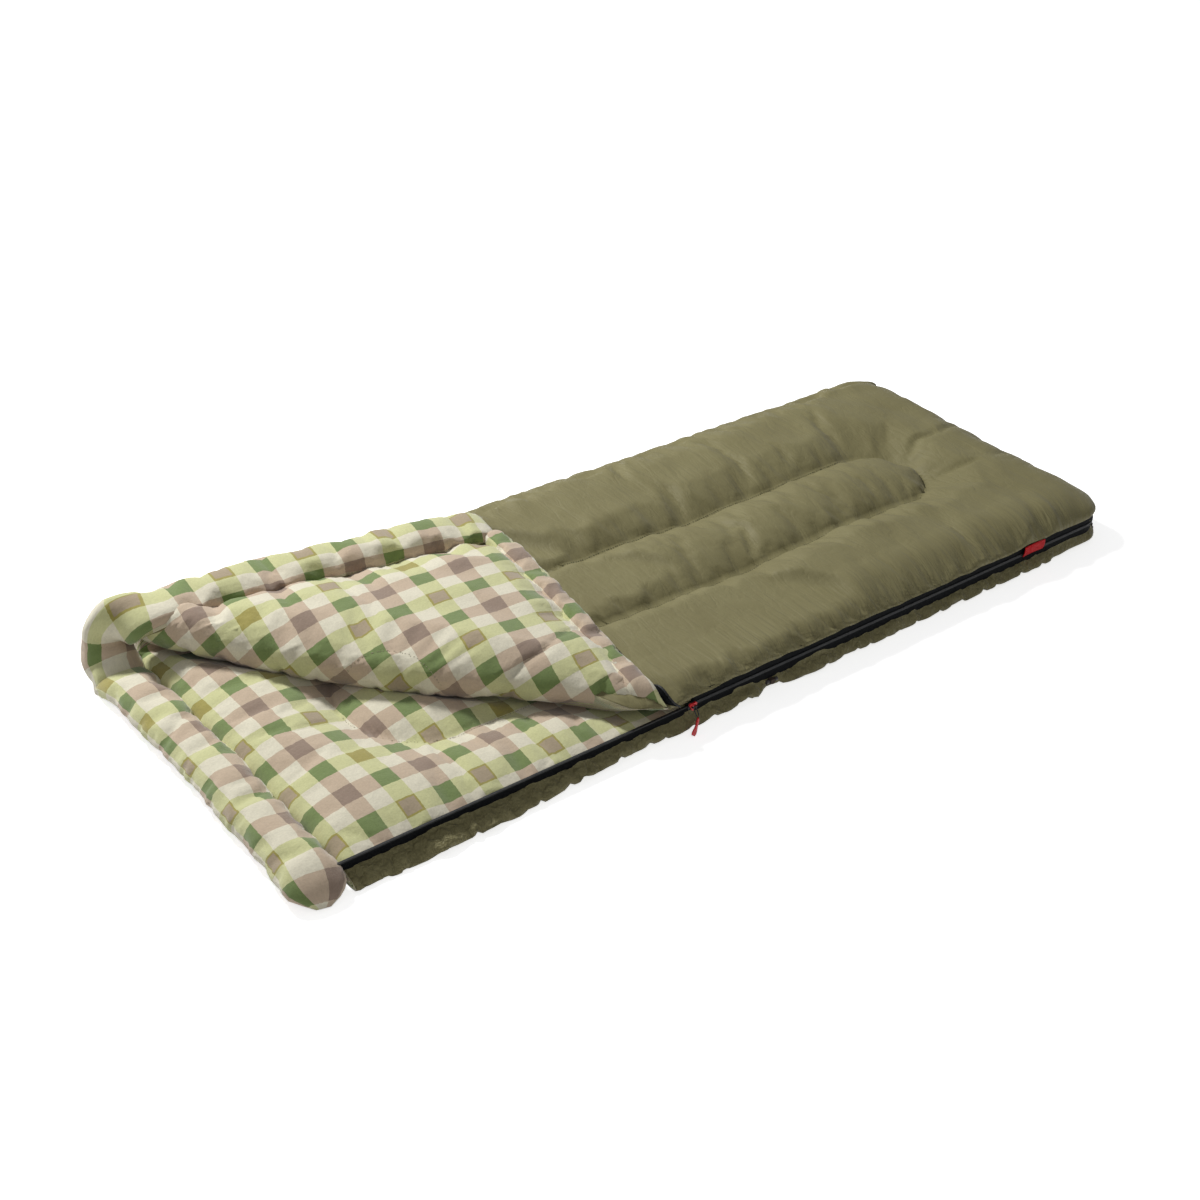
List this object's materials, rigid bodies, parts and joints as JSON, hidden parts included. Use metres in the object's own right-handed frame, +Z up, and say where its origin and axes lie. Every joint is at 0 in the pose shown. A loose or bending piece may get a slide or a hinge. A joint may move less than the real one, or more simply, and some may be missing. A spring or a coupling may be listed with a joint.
{
  "type": "rectangular sleeping bag",
  "caption": "Rectangular sleeping bag lying open: padded quilt folded along one side, zip along the other and round the foot, top corner folded back over a checked fleece lining.",
  "frame": {"origin": "on the floor under the middle of the bag", "axes": "+X from the mouth to the foot, +Y to the folded side, +Z up"},
  "size_m": [1.9031, 0.7139, 0.1355],
  "materials": {
    "shell_cloth": "matt olive polyester",
    "check_fleece": "brushed fleece with a woven-look check",
    "wadding": "hollow fibre",
    "zip_tape": "black woven tape",
    "zip_plastic": "black nylon",
    "slider_metal": "black enamel",
    "red_moulding": "satin red",
    "label": "woven red, bare",
    "webbing": "dark brown tape",
    "toggle": "dark grey nylon"
  },
  "bodies": {
    "bag": {"draft_tube": "check_fleece", "foot_loop": "webbing", "foot_stop": "zip_plastic", "lower_fill": "wadding", "lower_lining": "check_fleece", "lower_shell": "shell_cloth", "lower_zip_coil": "zip_plastic", "lower_zip_tape": "zip_tape", "mouth_band_cover": "check_fleece", "mouth_band_fill": "wadding", "mouth_stop": "zip_plastic", "side_fold_fill": "wadding", "side_fold_lining": "check_fleece", "side_fold_shell": "shell_cloth", "side_label": "label", "side_loop": "webbing", "upper_fill": "wadding", "upper_lining": "check_fleece", "upper_shell": "shell_cloth", "upper_zip_coil": "zip_plastic", "upper_zip_tape": "zip_tape"},
    "flap": {"flap_band_cover": "check_fleece", "flap_band_fill": "wadding", "flap_draft_tube": "check_fleece", "flap_fill": "wadding", "flap_lining": "check_fleece", "flap_shell": "shell_cloth", "flap_stop": "zip_plastic", "flap_zip_coil": "zip_plastic", "flap_zip_tape": "zip_tape"},
    "fold": {"fold_fill": "wadding", "fold_lining": "check_fleece", "fold_shell": "shell_cloth"},
    "slider": {"slider_body": "slider_metal", "slider_guard": "red_moulding"},
    "link": {"pull_link": "slider_metal"},
    "pull": {"pull_tab": "red_moulding"},
    "side_bar": {"side_toggle": "toggle"},
    "foot_bar": {"foot_toggle": "toggle"}
  },
  "joints": [
    {"name": "flap_fold", "type": "hinge", "parent": "bag", "child": "flap", "pos_m": [-0.32218, -0.28504, 0.0855], "axis": [0.6626, -0.749, 0], "range_deg": [0, 180]},
    {"name": "fold_turn", "type": "hinge", "parent": "bag", "child": "fold", "pos_m": [-0.32218, -0.28504, 0.0855], "axis": [0.6626, -0.749, 0], "range_deg": [0, 90]},
    {"name": "slider_travel", "type": "slide", "parent": "bag", "child": "slider", "axis": [1, 0, 0], "range_m": [-0.7045, 0]},
    {"name": "link_swing", "type": "hinge", "parent": "slider", "child": "link", "pos_m": [-0.174, -0.3561, 0.04], "axis": [-1, 0, 0], "range_deg": [0, 150]},
    {"name": "pull_swing", "type": "hinge", "parent": "link", "child": "pull", "pos_m": [-0.174, -0.3561, 0.02695], "axis": [0, 1, 0], "range_deg": [0, 80]},
    {"name": "side_toggle_turn", "type": "hinge", "parent": "bag", "child": "side_bar", "pos_m": [0.015, -0.3493, 0.0147], "axis": [1, 0, 0], "continuous": true},
    {"name": "foot_toggle_turn", "type": "hinge", "parent": "bag", "child": "foot_bar", "pos_m": [0.94267, -0.32188, 0.0147], "axis": [0.5736, 0.8192, 0], "continuous": true}
  ],
  "couplings": [
    {"joint": "fold_turn", "follows": "flap_fold", "ratio": 0.5}
  ]
}
